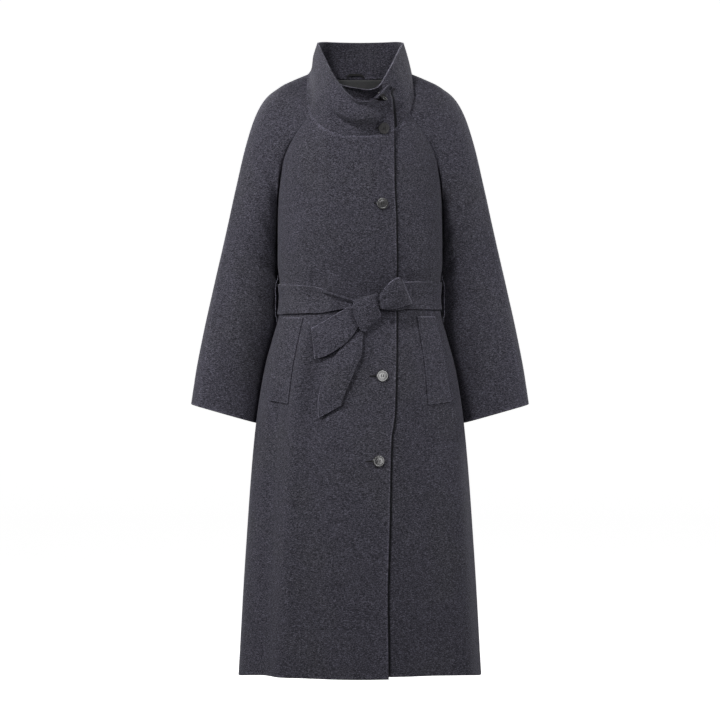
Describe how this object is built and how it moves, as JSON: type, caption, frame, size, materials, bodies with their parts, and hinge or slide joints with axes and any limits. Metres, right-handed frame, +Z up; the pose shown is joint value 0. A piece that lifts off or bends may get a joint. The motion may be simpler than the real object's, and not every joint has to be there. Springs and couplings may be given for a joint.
{
  "type": "belted funnel-collar coat",
  "caption": "Long wool coat, hollow as when worn: raglan sleeves, tall doubled funnel collar, lapped buttoned front, slanted welt pockets and a cloth belt tied in a half bow.",
  "frame": {"origin": "on the coat's middle, level with the tops of the shoulders at the neck, inside the neck opening where a wearer carries it", "axes": "+X to the wearer's left, -Y out of the front, +Z up"},
  "size_m": [0.678, 0.3473, 1.2721],
  "materials": {
    "wool": "soft brushed melange coating",
    "facing_cloth": "smooth",
    "loop_tape": "woven tape",
    "button_horn": "polished"
  },
  "bodies": {
    "root": {"back": "wool", "front_right": "wool", "front_left": "wool", "sleeve_right_front": "wool", "sleeve_right_back": "wool", "sleeve_left_front": "wool", "sleeve_left_back": "wool", "collar": "wool", "neck_facing": "facing_cloth", "hanger_loop": "loop_tape", "pocket_welt_right": "wool", "pocket_welt_left": "wool", "belt_band": "wool", "belt_knot": "wool", "bow_loop": "wool", "belt_end_short": "wool", "belt_end_long": "wool", "belt_carrier_right": "wool", "belt_carrier_left": "wool", "button_1": "button_horn", "button_2": "button_horn", "button_3": "button_horn", "button_4": "button_horn", "button_5": "button_horn"}
  },
  "joints": []
}
